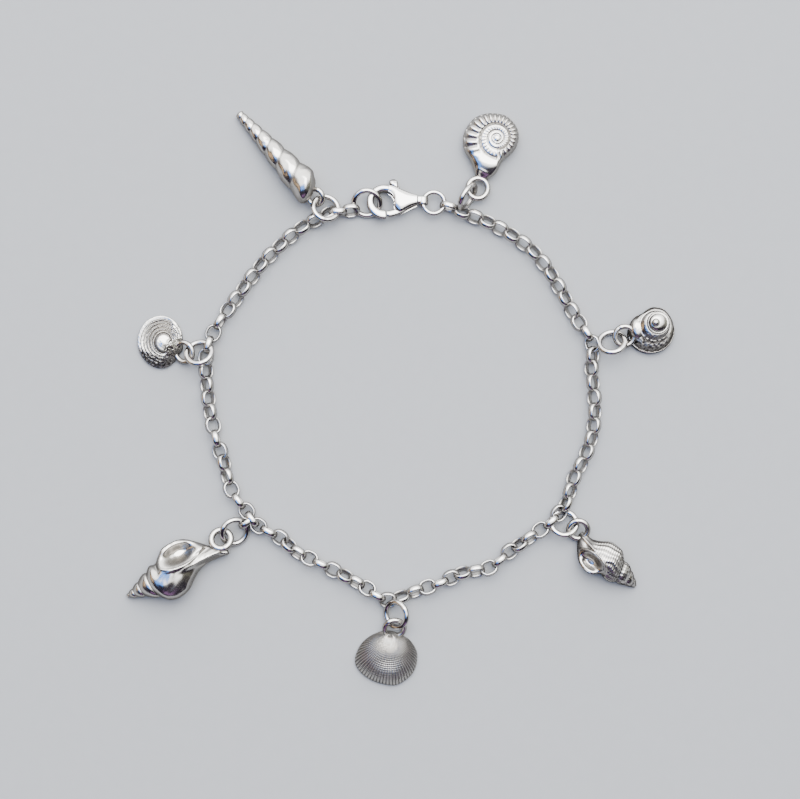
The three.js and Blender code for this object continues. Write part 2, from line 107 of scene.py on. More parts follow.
world = bpy.data.worlds.new("studio")
bpy.context.scene.world = world
world.use_nodes = True
room = world.node_tree
room.nodes.clear()
toward = node(room, "ShaderNodeTexCoord").outputs["Generated"]
heading = node(room, "ShaderNodeSeparateXYZ", {"Vector": toward})
beyond = node(room, "ShaderNodeMapRange", {
    "Value": heading.outputs["Y"], "From Min": -0.6, "From Max": 0.15,
}, interpolation_type="SMOOTHSTEP")
rightward = node(room, "ShaderNodeMapRange", {
    "Value": heading.outputs["X"], "From Min": -0.6, "From Max": 0.5,
}, interpolation_type="SMOOTHSTEP")
sides = node(room, "ShaderNodeMix", {
    "Factor": out(rightward), "A": linear("#5E5042"), "B": linear("#8C8C7C"),
}, data_type="RGBA")
walls = node(room, "ShaderNodeMix", {
    "Factor": out(beyond), "A": linear("#251F2C"), "B": out(sides),
}, data_type="RGBA")
lean = node(room, "ShaderNodeVectorMath", {0: toward, 1: SKYLIGHT_TOWARD}, operation="DOT_PRODUCT")
inside = node(room, "ShaderNodeMapRange", {
    "Value": lean.outputs["Value"], "From Min": SKYLIGHT_EDGE[0], "From Max": SKYLIGHT_EDGE[1],
}, interpolation_type="SMOOTHSTEP")
wall_glow = node(room, "ShaderNodeBackground", {"Color": out(walls), "Strength": 1.0})
sky_glow = node(room, "ShaderNodeBackground", {
    "Color": linear("#FCFDFF"), "Strength": SKYLIGHT_STRENGTH,
})
lit = node(room, "ShaderNodeMixShader", {"Fac": out(inside), 1: out(wall_glow), 2: out(sky_glow)})
facing = node(room, "ShaderNodeVectorMath", {0: toward, 1: WINDOW_TOWARD}, operation="DOT_PRODUCT")
pane = node(room, "ShaderNodeMapRange", {
    "Value": facing.outputs["Value"], "From Min": WINDOW_EDGE[0], "From Max": WINDOW_EDGE[1],
}, interpolation_type="SMOOTHSTEP")
blue_glow = node(room, "ShaderNodeBackground", {
    "Color": linear("#62A0FF"), "Strength": WINDOW_STRENGTH,
})
glow = node(room, "ShaderNodeMixShader", {"Fac": out(pane), 1: out(lit), 2: out(blue_glow)})
node(room, "ShaderNodeOutputWorld", {"Surface": out(glow)})

# ---- Table ----
# A sheet of grey card, which shows pale in this light. It is matt, so the eye sees only soft
# shadows on it and the faint mottle of its pulp.
TABLE_REACH, TABLE_TOP = 4, -0.0001
PULP_SIZE = 2.5

card = bpy.data.materials.new("matt card")
card.use_nodes = True
tree = card.node_tree
tree.nodes.clear()
place = node(tree, "ShaderNodeTexCoord")
pulp = node(tree, "ShaderNodeTexNoise", {
    "Vector": place.outputs["Object"], "Scale": 1000 / PULP_SIZE, "Detail": 4.0,
})
tint = node(tree, "ShaderNodeMix", {
    "Factor": out(pulp), "A": linear("#ABADB0"), "B": linear("#B0B2B4"),
}, data_type="RGBA")
matt = node(tree, "ShaderNodeBsdfPrincipled", {"Base Color": out(tint), "Roughness": 0.85})
node(tree, "ShaderNodeOutputMaterial", {"Surface": out(matt)})

corners = [(x * TABLE_REACH, y * TABLE_REACH, TABLE_TOP)
           for x, y in ((-1, -1), (1, -1), (1, 1), (-1, 1))]
table = bpy.data.meshes.new("table")
table.from_pydata(corners, [], [(0, 1, 2, 3)])
table.materials.append(card)
floor = bpy.data.objects.new("table", table)
bpy.context.scene.collection.objects.link(floor)

# ---- Chain ----
# A belcher chain: short oval links of half-round sterling wire, each soldered shut and hooked
# through the last at a right angle. It is barrel polished, so the outsides are bright and the
# insides stay grey.
LINK_LENGTH, LINK_WIDTH = 3.66, 3.2
LINK_THICK, LINK_BAND = 0.6, 1.25
# The height of a link's middle when it lies flat, and how much higher it is when it stands up.
LINK_LOW, LINK_RISE = 1.18, 0.42

# Every second link's middle, in millimetres, from the auger's ring round by the clam to the
# ammonite.
ROUTE = np.array([
    (-14.05, 36.0), (-19.3, 33.2), (-23.57, 29.7), (-27.37, 25.8), (-30.7, 21.4), (-33.7, 17.15),
    (-36.6, 12.65), (-38.0, 8.0), (-37.8, 2.55), (-37.2, -2.7), (-36.0, -7.9), (-34.5, -12.65),
    (-33.1, -17.8), (-30.1, -22.0), (-27.8, -24.9), (-23.6, -27.15), (-20.1, -30.15),
    (-15.6, -32.3), (-10.95, -34.65), (-6.65, -37.1), (-2.6, -39.3), (2.7, -37.65), (7.55, -36.0),
    (11.93, -34.05), (17.1, -33.1), (21.1, -29.85), (25.0, -27.25), (29.15, -24.05),
    (32.0, -20.55), (33.65, -15.55),
    (36.15, -10.5), (37.5, -5.35), (37.6, 0.1), (37.05, 5.85), (37.25, 10.6), (34.6, 14.7),
    (31.9, 19.45), (29.25, 24.05), (25.85, 28.4), (21.55, 31.7), (16.8, 34.25), (11.85, 36.2),
])
# How far the chain has twisted by then, in degrees: link number and angle.
TWIST = np.array([
    (0, 45), (9, 45), (11.5, 0), (13.5, 0), (15, 45), (18, 45), (20, 90), (25, 180), (29, 180),
    (34, 270), (39, 360), (44, 450), (49, 540), (54, 630), (57, 675), (67, 675), (69, 720),
    (71, 765), (82, 765),
])


def spline(points, stations):
    """Points on the smooth line through the given ones, by number along it: a cubic between each
    pair, whose slope at a point is half the step between its neighbours."""
    points = np.asarray(points, float)
    slopes = np.gradient(points, axis=0)
    start = np.clip(np.floor(stations).astype(int), 0, len(points) - 2)
    part = (stations - start)[:, None]
    one, two = points[start], points[start + 1]
    rise, fall = slopes[start], slopes[start + 1]
    return (
        one * (2 * part ** 3 - 3 * part ** 2 + 1) + rise * (part ** 3 - 2 * part ** 2 + part)
        + two * (3 * part ** 2 - 2 * part ** 3) + fall * (part ** 3 - part ** 2)
    )


def even_turn(count, shift=0):
    """That many angles, evenly round a circle, in radians, moved on by a share of a step."""
    return (np.arange(count) + shift) * 2 * np.pi / count


def turned(points, roll=0, pitch=0, azimuth=0, at=(0, 0, 0)):
    """Points turned about X by roll, their +X end raised by pitch, turned about Z, and moved."""
    roll, pitch, azimuth = np.radians(roll), np.radians(pitch), np.radians(azimuth)
    x, y, z = points[..., 0], points[..., 1], points[..., 2]
    y, z = y * np.cos(roll) - z * np.sin(roll), y * np.sin(roll) + z * np.cos(roll)
    x, z = x * np.cos(pitch) - z * np.sin(pitch), x * np.sin(pitch) + z * np.cos(pitch)
    x, y = x * np.cos(azimuth) - y * np.sin(azimuth), x * np.sin(azimuth) + y * np.cos(azimuth)
    return np.stack([x, y, z], -1) + np.asarray(at)


def shell(points, ring=False, tarnish_and_shade=0.0):
    """A closed skin over a grid of points, rows by sides. Sides join round; rows join round too
    on a ring, and otherwise each end row closes on its own middle. Returns points, corners by
    face, and the hollow of each point."""
    rows, sides = points.shape[:2]
    tarnish_and_shade = np.broadcast_to(tarnish_and_shade, (rows, sides)).ravel()
    flat = points.reshape(-1, 3)
    row = np.arange(rows if ring else rows - 1)[:, None]
    side = np.arange(sides)[None, :]
    here, there = row * sides, ((row + 1) % rows) * sides
    after = (side + 1) % sides
    quads = np.stack([here + side, here + after, there + after, there + side], -1).reshape(-1, 4)
    if not ring:
        poles = np.stack([points[0].mean(0), points[-1].mean(0)])
        first, last = np.full(sides, len(flat)), np.full(sides, len(flat) + 1)
        around, following = np.arange(sides), (np.arange(sides) + 1) % sides
        far = (rows - 1) * sides
        start = np.stack([following, around, first, first], -1)
        end = np.stack([far + around, far + following, last, last], -1)
        flat = np.concatenate([flat, poles])
        tarnish_and_shade = np.concatenate([tarnish_and_shade, [tarnish_and_shade[:sides].mean(), tarnish_and_shade[-sides:].mean()]])
        quads = np.concatenate([quads, start, end])
    one, two, three, four = (flat[quads[:, corner]] for corner in range(4))
    volume = (one * np.cross(two, three)).sum() + (one * np.cross(three, four)).sum()
    return flat, quads if volume > 0 else quads[:, ::-1], tarnish_and_shade


def step(value, low, high):
    """Nought below low, one above high, and a smooth rise between them."""
    part = np.clip((value - low) / (high - low), 0, 1)
    return part * part * (3 - 2 * part)


def sides_share(points, quads):
    """How much each point lies on a steep side: one where the skin stands upright, nought where
    it faces up. The way it faces is the sum, over the faces that meet there, of the cross
    product of their diagonals."""
    one, two, three, four = (points[quads[:, corner]] for corner in range(4))
    faces = np.cross(three - one, four - two)
    corners, count = quads.ravel(), len(points)
    total = [np.bincount(corners, np.repeat(faces[:, axis], 4), count) for axis in range(3)]
    length = np.maximum(np.sqrt(sum(part ** 2 for part in total)), 1e-12)
    return 1 - step(total[2] / length, 0.5, 0.85)


def made(name, shells, finish, slot, replaces, body="root", side_shade=0.7):
    """One piece, in metres, from skins in millimetres, with its finish, riding on a body for the
    CAD nodes it replaces. The steep sides are also painted darker with a share of the tarnish
    colour: painted shade, not tarnish."""
    counts = np.cumsum([0] + [len(points) for points, _, _ in shells])
    points = np.concatenate([points for points, _, _ in shells]) / 1000
    quads = np.concatenate([faces + count for (_, faces, _), count in zip(shells, counts)])
    tarnish_and_shade = np.concatenate([depth for _, _, depth in shells])
    # Painted shade: the steeper a side, the more of the tarnish colour it gets.
    tarnish_and_shade = np.maximum(tarnish_and_shade, side_shade * sides_share(points, quads))
    keep = np.ones(quads.shape, bool)
    keep[:, 3] = quads[:, 3] != quads[:, 2]
    keep[:, 1] &= quads[:, 1] != quads[:, 0]
    sizes = keep.sum(1)
    mesh = bpy.data.meshes.new(name)
    mesh.vertices.add(len(points))
    mesh.vertices.foreach_set("co", points.ravel())
    mesh.loops.add(int(sizes.sum()))
    mesh.loops.foreach_set("vertex_index", quads[keep])
    mesh.polygons.add(len(quads))
    mesh.polygons.foreach_set("loop_start", np.cumsum(sizes) - sizes)
    mesh.polygons.foreach_set("use_smooth", np.ones(len(quads), bool))
    mesh.update(calc_edges=True)
    mesh.validate()
    depth = mesh.attributes.new("tarnish_and_shade", "FLOAT", "POINT")
    depth.data.foreach_set("value", tarnish_and_shade.astype(np.float32))
    mesh.materials.append(finish)
    piece = bpy.data.objects.new(name, mesh)
    bpy.context.scene.collection.objects.link(piece)
    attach(piece, body)
    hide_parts(*replaces)
    return piece


def silver(name, bright, tarnish_and_shade_colour, gloss, grain, depth):
    """Sterling silver: bright where polished; darker and rougher where tarnished in recesses and,
    as painted shade, on steep sides. grain is the size of its marks and depth how far they sink,
    both in millimetres. Its gloss varies in clouds about 4 mm across."""
    finish = bpy.data.materials.new(name)
    finish.use_nodes = True
    tree = finish.node_tree
    tree.nodes.clear()
    place = node(tree, "ShaderNodeTexCoord")
    tarnish_and_shade = node(tree, "ShaderNodeAttribute", attribute_name="tarnish_and_shade")
    where = place.outputs["Object"]
    marks = node(tree, "ShaderNodeTexNoise", {
        "Vector": where, "Scale": 1000 / grain, "Detail": 5.0,
    })
    cloud = node(tree, "ShaderNodeTexNoise", {"Vector": where, "Scale": 260.0, "Detail": 2.0})
    patch = node(tree, "ShaderNodeMath", {0: out(marks), 1: 0.7, 2: 0.65},
                 operation="MULTIPLY_ADD")
    darkening = node(tree, "ShaderNodeMath", {0: tarnish_and_shade.outputs["Fac"], 1: out(patch)},
                operation="MULTIPLY", use_clamp=True)
    tint = node(tree, "ShaderNodeMix", {
        "Factor": out(darkening), "A": linear(bright), "B": linear(tarnish_and_shade_colour),
    }, data_type="RGBA")
    rough = node(tree, "ShaderNodeMapRange", {
        "Value": out(cloud), "From Min": 0.3, "From Max": 0.7,
        "To Min": gloss * 0.75, "To Max": gloss * 1.4,
    })
    rougher = node(tree, "ShaderNodeMath", {0: out(darkening), 1: 0.3, 2: out(rough)},
                   operation="MULTIPLY_ADD")
    relief = node(tree, "ShaderNodeBump", {
        "Height": out(marks), "Strength": 0.6, "Distance": depth / 1000,
    })
    metal = node(tree, "ShaderNodeBsdfPrincipled", {
        "Base Color": out(tint), "Specular Tint": out(tint), "Roughness": out(rougher),
        "Normal": out(relief), "Metallic": 1.0,
    })
    node(tree, "ShaderNodeOutputMaterial", {"Surface": out(metal)})
    return finish


# Barrel polished wire: it shows the room sharply and very bright, broken by fine nicks about
# 0.3 mm apart.
chain_silver = silver("sterling silver, barrel polished", "#F6F3EE", "#55514E",
                      gloss=0.16, grain=0.3, depth=0.004)


def links(at, azimuth, roll):
    """Belcher links at their places. The centre line is an oval of two half circles joined by
    short straights, and the section across it is a low D: flatter inside, rounded outside."""
    around = even_turn(30, 0.5)[:, None]
    across = even_turn(10, 0.5)[None, :]
    bow = (LINK_WIDTH - LINK_THICK) / 2
    straight = (LINK_LENGTH - LINK_WIDTH) / 2
    outward = np.where(np.cos(across) > 0, np.cos(across), 0.8 * np.cos(across)) * LINK_THICK / 2
    reach = bow + outward + 0 * around
    x = np.cos(around) * reach + np.clip(4 * np.cos(around), -1, 1) * straight
    z = np.sin(across) * LINK_BAND / 2 + 0 * around
    one = np.stack([x, np.sin(around) * reach, z], -1)
    inside = np.clip(-np.cos(across), 0, 1) * 0.7 + 0 * around
    return [shell(turned(one, roll=lean, azimuth=head, at=middle), ring=True, tarnish_and_shade=inside)
            for middle, head, lean in zip(at, azimuth, roll)]


numbers = np.arange(2 * len(ROUTE) - 1)
middles = spline(ROUTE, numbers / 2)
steps = np.gradient(middles, axis=0)
headings = np.degrees(np.arctan2(steps[:, 1], steps[:, 0]))
rolls = 90 * (numbers % 2) + np.interp(numbers, TWIST[:, 0], TWIST[:, 1])
heights = LINK_LOW + LINK_RISE * np.abs(np.sin(np.radians(rolls)))
middles = np.column_stack([middles, heights])

# Each stretch between two charms: its first and last link by number, and the CAD nodes that it
# stands for.
STRETCHES = {
    "links_auger_to_clam": (0, 14, (
        "chain_auger_to_clam", "link_auger_beside", "link_auger_after", "link_clam",
        "link_clam_after",
    )),
    "links_clam_to_whelk": (15, 27, (
        "chain_clam_to_whelk", "link_whelk_before", "link_whelk_middle",
    )),
    "links_whelk_to_cockle": (28, 40, (
        "link_whelk_after", "chain_whelk_to_cockle", "link_cockle",
    )),
    "links_cockle_to_netted_whelk": (41, 55, (
        "link_cockle_after", "chain_cockle_to_netted", "link_netted", "link_netted_after",
    )),
    "links_netted_whelk_to_top_shell": (56, 68, ("chain_netted_to_top_shell", "link_top_shell")),
    "links_top_shell_to_ammonite": (69, 82, ("chain_top_shell_to_ammonite", "link_ammonite")),
}
for name, (first, last, nodes) in STRETCHES.items():
    part = slice(first, last + 1)
    made(name, links(middles[part], headings[part], rolls[part]), chain_silver, "chain_silver",
         nodes)

# The links at the clasp's two ends, and the one that carries the whelk's ring beside the run.
catch_links = links(at=[(-9.8, 36.5, 1.5), (-12.3, 36.25, 1.6)], azimuth=[5, 1], roll=[50, 88])
clasp_link = links(at=[(9.25, 37.2, 1.7)], azimuth=[-16], roll=[77])
whelk_link = links(at=[(-30.1, -24.1, 1.6)], azimuth=[38], roll=[100])
made("links_at_catch_ring", catch_links, chain_silver, "chain_silver", ["link_catch", "link_auger"])
made("link_at_clasp_ring", clasp_link, chain_silver, "chain_silver", ["link_clasp"])
made("link_at_whelk_ring", whelk_link, chain_silver, "chain_silver", ["link_whelk"])

# ---- Jump rings, catch ring and clasp ring ----
# Round sterling wire bent to a circle and soldered, then hand polished. The joint is a slight
# swelling. Hand polished wire shows the smoothest, whitest reflections of all the parts, with
# the faintest waviness.
ring_silver = silver("sterling silver, hand polished", "#F8F5F1", "#6A6561",
                     gloss=0.11, grain=0.5, depth=0.003)


def bell(away, width):
    """One at nought, and a smooth fall to nothing on either side, over about that width."""
    return np.exp(-(away / width) ** 2)


def wire_ring(radius, wire, at, tilt, azimuth):
    """A torus whose wire swells a little at the joint, between two slight waists. Its plane goes
    down toward the azimuth by tilt."""
    joint, joint_width, waist, waist_width = 200, 9, 16, 5
    around = even_turn(72)[:, None]
    across = even_turn(16)[None, :]
    away = (np.degrees(around) - joint + 180) % 360 - 180
    thick = wire * (1 + 0.1 * bell(away, joint_width)
                    - 0.04 * bell(np.abs(away) - waist, waist_width))
    reach = radius + thick * np.cos(across)
    grid = [np.cos(around) * reach, np.sin(around) * reach, thick * np.sin(across)]
    inside = np.clip(-np.cos(across) - 0.2, 0, 1) * 0.6 + 0 * around
    there = turned(np.stack(grid, -1), pitch=-tilt, azimuth=azimuth, at=at)
    return shell(there, ring=True, tarnish_and_shade=inside)


# Each ring's radius, its wire's radius, its middle, its tilt and the way that it goes down.
RINGS = {
    "jump_ring_auger": (2.5, 0.52, (-14.65, 36.9, 2.4), 28, 52),
    "jump_ring_ammonite": (2.5, 0.52, (12.87, 39.05, 2.85), 71, -32),
    "jump_ring_clam": (2.5, 0.52, (-39.24, 8.77, 2.57), 35, 106),
    "jump_ring_top_shell": (2.5, 0.52, (41.01, 10.85, 2.05), 38, 103),
    "jump_ring_whelk": (2.5, 0.52, (-32.41, -26.05, 1.67), 28, -46),
    "jump_ring_cockle": (2.5, 0.52, (-0.97, -42.05, 2.52), 38, 192),
    "jump_ring_netted_whelk": (2.5, 0.52, (31.67, -24.35, 1.59), 26, 81),
    "catch_ring": (2.56, 0.49, (-6.68, 37.95, 1.6), 24, -92),
    "clasp_ring": (2.08, 0.44, (6.33, 37.98, 1.6), 0, 0),
}
for name, ring in RINGS.items():
    made(name + "_wire", [wire_ring(*ring)], ring_silver, "polished_silver", [name])

# ---- Auger ----
# A long cone of about eight swelling turns, cast solid in sterling silver and tumbled bright. It
# lies along its side, and the wire loop soldered to its base holds it to its ring.

# Tumbling leaves the high parts bright and slightly soft, and black tarnish in the hollows draws
# every rib and seam.
cast_silver = silver("cast sterling silver, tumbled", "#F1EDE6", "#3E3A38",
                     gloss=0.19, grain=0.22, depth=0.012)

# A charm is made in its own frame, with its body along +X from its loop. These say where that
# frame goes and which way it points, and give the loop as a ring is given above.
AUGER = {
    "at": (-16.67, 39.06), "azimuth": 132.4, "loop": (1.55, 0.48, (0, 0, 2.28), 28, -267.4),
}


def hang(name, skins, charm, replaces, side_shade=0.9):
    """A charm from its skins and its wire loop, turned and moved from its own frame to its
    place."""
    at, azimuth = (*charm["at"], 0), charm["azimuth"]
    parts = [*skins, wire_ring(*charm["loop"])]
    there = [(turned(skin, azimuth=azimuth, at=at), faces, depth) for skin, faces, depth in parts]
    return made(name, there, cast_silver, "cast_silver", replaces, side_shade=side_shade)


def pitting(x, y, size):
    """Soft lumps of about that size, between minus one and one: waves that cross at odd angles
    and bend."""
    x, y = x * 2 * np.pi / size, y * 2 * np.pi / size
    across = x + 1.3 * np.sin(0.37 * y + 0.5) + 0.8 * np.sin(0.83 * y)
    x, y = across, y + 1.3 * np.sin(0.41 * x) + 0.7 * np.sin(0.9 * x + 2)
    waves = (np.sin(x + 0.31 * y) + np.sin(0.73 * y - 0.81 * x) + np.sin(1.21 * y + 0.37 * x + 0.9)
             + np.sin(1.7 * x - 1.1 * y + 2.0) * 0.7)
    return waves / 3.2


def dome(away):
    """The height of a half circle: one at nought, and nought from one outwards."""
    return np.sqrt(np.clip(1 - away ** 2, 0, 1))


def to_seam(part):
    """How far it is to the nearer seam, as a share of the turn."""
    return np.minimum(part, 1 - part)


def auger_cone():
    """Circles round a line that leans down to the tip. The radius is a fixed share of the
    distance to the apex, and swells like a barrel between seams. A seam is the spiral on which
    that distance grows by the same factor in every turn. The mouth end is cut on the slant."""
    base, apex, tip, spread = 0.75, 26.62, 22.4, 0.12
    first_seam, growth, seam_width = 20.75, 1.258, 0.055
    along = np.linspace(0, 1, 320)[:, None]
    around = even_turn(96)[None, :]
    first, last = apex - base, apex - tip
    reach = first * (last / first) ** along
    turn = np.log(reach / first_seam) / np.log(growth) + around / (2 * np.pi) - 0.25
    part = turn % 1
    swell = np.sin(np.pi * part ** 1.15) ** 0.6
    seam = bell(to_seam(part), seam_width)
    blunt = dome(1 - np.clip(along / 0.06, 0.02, 1))
    point = dome(1 - np.clip((1 - along) / 0.05, 0.02, 1))
    ripple = np.sin(around * 9 + 3 * np.sin(reach * 1.3))
    radius = (0.26 + spread * reach) * (0.86 + 0.16 * swell) * blunt ** 0.8 * point
    radius = radius * (1 + 0.01 * ripple * swell)
    slant = -0.42 * np.cos(around) * radius * (1 - step(along, 0.0, 0.16))
    height = 0.27 + np.sin(np.arctan(spread)) * reach * 1.02
    grid = [apex - reach + slant, np.cos(around) * radius, height + np.sin(around) * radius]
    return shell(np.stack(grid, -1), tarnish_and_shade=0.6 * seam)


hang("auger_shell", [auger_cone()], AUGER, ["auger_charm"], side_shade=0.65)

# ---- Ammonite ----
# A flat ribbed coil, cast with both faces alike: a wide outer turn that ends in a smooth neck,
# and three inner turns between spiral grooves. The grooves and the pits between the ribs keep
# their dark tarnish.
AMMONITE = {"at": (14.91, 40.78), "azimuth": 76, "loop": (1.95, 0.53, (0, 0, 1.66), 5, -88)}
AMMONITE_MIDDLE = np.array([10.24, -1.25])
AMMONITE_EDGE = np.array([
    (7.88, 4.98), (6.28, 4.18), (5.0, 2.86), (3.3, 1.63), (2.27, 0.97), (1.9, -0.4),
    (2.55, -1.77), (4.01, -2.81), (6.14, -3.28), (7.83, -4.46), (9.44, -5.26), (11.47, -5.36),
    (12.93, -4.79), (14.06, -3.7), (15.01, -1.86), (14.96, 0.33), (14.4, 2.19), (13.17, 3.89),
    (11.33, 4.84), (9.63, 5.22),
])


def edge_reach(edge, middle, angles):
    """How far the smooth closed line through the edge's points lies from the middle, at each
    angle."""
    count = len(edge)
    closed = np.concatenate([edge[-3:], edge, edge[:3]])
    fine = spline(closed, np.linspace(3, count + 3, 40 * count)) - middle
    turn = np.arctan2(fine[:, 1], fine[:, 0])
    order = np.argsort(turn)
    away = np.hypot(fine[:, 0], fine[:, 1])[order]
    return np.interp(angles, turn[order], away, period=2 * np.pi)


def between(value, start, full, fade, end):
    """One from full to fade, with a smooth rise from start and a smooth fall to end."""
    return step(value, start, full) * (1 - step(value, fade, end))


def ammonite_coil():
    """Rings round the coil's middle, out to the edge over the top and back below, with the same
    height both ways. The seam's reach shrinks by the same factor each turn. The outer turn rises
    from its seam to its shoulder and rounds down from there, and ribs run outward across it."""
    half_way, seam_reach, shrink, shoulder, boss_reach = 1.62, 3.8, 0.55, 0.38, 0.72
    ribs, fine_ribs = 25, 26
    angle = even_turn(264)[None, :]
    share = np.sin(np.linspace(0.006, 1, 96) * np.pi / 2)[:, None]
    edge = edge_reach(AMMONITE_EDGE, AMMONITE_MIDDLE, angle)
    reach = share * edge
    x = AMMONITE_MIDDLE[0] + np.cos(angle) * reach
    y = AMMONITE_MIDDLE[1] + np.sin(angle) * reach
    turn = ((np.radians(194) - angle) / (2 * np.pi)) % 1
    seam = seam_reach * shrink ** turn
    # The outer turn, then the inner turns, and the boss in their middle.
    across = np.clip((reach - seam) / (edge - seam), 0, 1)
    outer = 1.58 * (1 - np.clip((across - shoulder) / (1 - shoulder), 0, 1) ** 2.4) ** 0.55
    outer = outer - 0.36 * (1 - np.clip(across / shoulder, 0, 1)) ** 2
    depth = np.log(np.maximum(reach, 0.05) / seam) / np.log(shrink)
    part = depth % 1
    inner = 1.06 + 0.26 * dome(2 * part - 1) - 0.03 * np.floor(depth)
    inner = np.where(reach < boss_reach, 1.0 + 0.32 * dome(reach / boss_reach), inner)
    fine_rib = 0.05 * np.cos(angle * fine_ribs + 2 * part) * bell(part - 0.45, 0.2) * (depth < 1.1)
    # The ribs stand closer on one side than on the other, and fade out on the smooth neck.
    smooth = step(x, 5.6, 7.6)
    rib = 0.5 + 0.5 * np.cos(ribs * angle + 7 * np.sin(angle + 0.09) + 2.1 * across)
    pit = (1 - rib) ** 1.3 * (between(across, 0.08, 0.3, 0.86, 1.0) * smooth)
    height = np.where(reach < seam, inner + fine_rib, outer - 0.30 * pit * (0.5 + across))
    inner_groove = np.where(reach < seam, bell(to_seam(part), 0.14), 0) * (depth < 3)
    groove = bell(reach - seam, 0.12) + inner_groove
    height = height - 0.16 * bell(reach - seam, 0.16) * step(x, 5.0, 6.5)
    # The neck thins toward the loop, past a low lip.
    lip = 0.14 * bell(x - 3.4 - 0.25 * y, 0.32) * (y < 1.2) * (across > 0)
    thin = 1 - 0.28 * step(-x, -5.2, -2.4)
    height = np.maximum(height * thin + lip * (1 - across ** 4), 0.0)
    dark = np.clip(0.35 * groove * step(x, 5.0, 6.5) + 0.6 * pit, 0, 1)
    over = np.stack([x, y, half_way + height], -1)
    under = np.stack([x, y, half_way - height], -1)[::-1][1:]
    return shell(np.concatenate([over, under]), tarnish_and_shade=np.concatenate([dark, dark[::-1][1:]]))


hang("ammonite_shell", [ammonite_coil()], AMMONITE, ["ammonite_charm"], side_shade=0.65)

# ---- Clam ----
# A small domed half shell, cast thin and hollow behind. Stepped growth rings crowd together
# toward its beak, and the side away from them is worn and pitted.
CLAM = {"at": (-42.28, 8.92), "azimuth": 168, "loop": (1.93, 0.49, (0, 0, 1.6), 28, 40)}
CLAM_BEAK, CLAM_CROWN, CLAM_HEIGHT = (3.7, -1.0), (4.3, -0.9), 3.2
CLAM_EDGE = np.array([
    (0.75, -1.63), (1.38, -3.69), (2.7, -5.2), (4.46, -6.01), (6.43, -5.89), (8.34, -4.59),
    (9.31, -2.6), (9.43, -0.38), (8.57, 1.82), (7.06, 3.29), (5.31, 4.02), (3.54, 3.94),
    (2.14, 3.04), (1.24, 1.66), (0.87, 0.58), (0.5, -0.49),
])
# The height of a half shell's outer rim and of its inner edge, and how much less its inner dome
# rises than the outer.
RIM_HEIGHT, FOOT, INNER_DROP = 0.55, 0.03, 0.6


def half_shell(edge, beak, crown, height, relief, rings, sides, bulge=2.0, round_off=0.9):
    """Rings round the beak out to the edge, domed about the crown, then back inside as a lower
    dome. A dome's height is one minus the share of the way out to the power bulge, all to the
    power round_off. relief gives the height and darkness that the outside's own marks add, from
    each point's place, share of the way out and angle."""
    angle = even_turn(sides)[None, :]
    reach = edge_reach(edge, beak, angle)

    def domed(part, scale):
        x, y = beak[0] + np.cos(angle) * reach * part, beak[1] + np.sin(angle) * reach * part
        away = np.hypot(x - crown[0], y - crown[1])
        full = edge_reach(edge, crown, np.arctan2(y - crown[1], x - crown[0]))
        rise = (1 - np.clip(away / full, 0, 1) ** bulge) ** round_off
        return x, y, rise * scale

    share = np.linspace(0.012, 1, rings)[:, None]
    x, y, z = domed(share, height - RIM_HEIGHT)
    lift, dark = relief(x, y, share, angle)
    outside = np.stack([x, y, RIM_HEIGHT + z + lift], -1)
    inner = np.linspace(0.95, 0.02, 14)[:, None]
    x, y, z = domed(inner, height - INNER_DROP - RIM_HEIGHT)
    inside = np.stack([x, y, FOOT + z], -1)
    x, y, z = domed(np.array([[1.0]]), 0)
    foot = np.stack([x, y, z + FOOT], -1)
    behind = np.full((len(foot) + len(inside), sides), 0.5)
    tarnish_and_shade = np.concatenate([np.broadcast_to(dark, outside.shape[:2]), behind])
    return shell(np.concatenate([outside, foot, inside]), tarnish_and_shade=tarnish_and_shade)


def clam_marks(x, y, share, angle):
    """Steps between growth rings: each band climbs outward and drops at its edge. Pits roughen the
    beak and the worn side. The drop of each step and the +y side get painted shade."""
    bounds = np.array([0.0, 0.42, 0.54, 0.66, 0.78, 0.9, 1.04])
    band = np.searchsorted(bounds, share + 0 * angle, side="right") - 1
    band = np.clip(band, 0, len(bounds) - 2)
    part = (share - bounds[band]) / (bounds[band + 1] - bounds[band])
    ringed = step(np.cos(angle + 0.45), -0.75, -0.2)
    # The first band is the smooth crown, which climbs less and drops later.
    climb = np.where(band > 0, part, 0.35 + 0.3 * step(part, 0.2, 0.9)) - 0.45
    drop = step(part, np.where(band > 0, 0.62, 0.86), 1.0)
    rise = climb * (1 - drop) - 0.45 * drop
    side = y + 0.1 * x
    worn = np.clip(step(side, 1.3, 2.9) + 0.7 * step(-x, -4.0, -2.6), 0, 1)
    lump = pitting(x, y, 0.95) * 0.6 + pitting(y + 3, x, 0.5) * 0.4
    lift = 0.74 * rise * ringed * (1 - 0.6 * worn) * step(share, 0.03, 0.36)
    lift = lift + (0.015 + 0.11 * worn) * lump * step(share, 0.05, 0.2)
    # Painted shade: the steep drop of each step, and more broadly the +y side, are painted darker.
    riser_shade = between(part, 0.6, 0.75, 0.95, 1.0) * ringed * (1 - 0.5 * worn)
    shade = 0.85 * step(side, 1.1, 2.6) * (0.75 - 0.35 * lump)
    dark = 0.9 * riser_shade + shade + 0.3 * worn * (0.4 - lump)
    return lift, np.clip(dark, 0, 1)


clam_skin = half_shell(CLAM_EDGE, CLAM_BEAK, CLAM_CROWN, CLAM_HEIGHT, clam_marks,
                       rings=170, sides=270, bulge=1.7)
hang("clam_shell", [clam_skin], CLAM, ["clam_charm"])

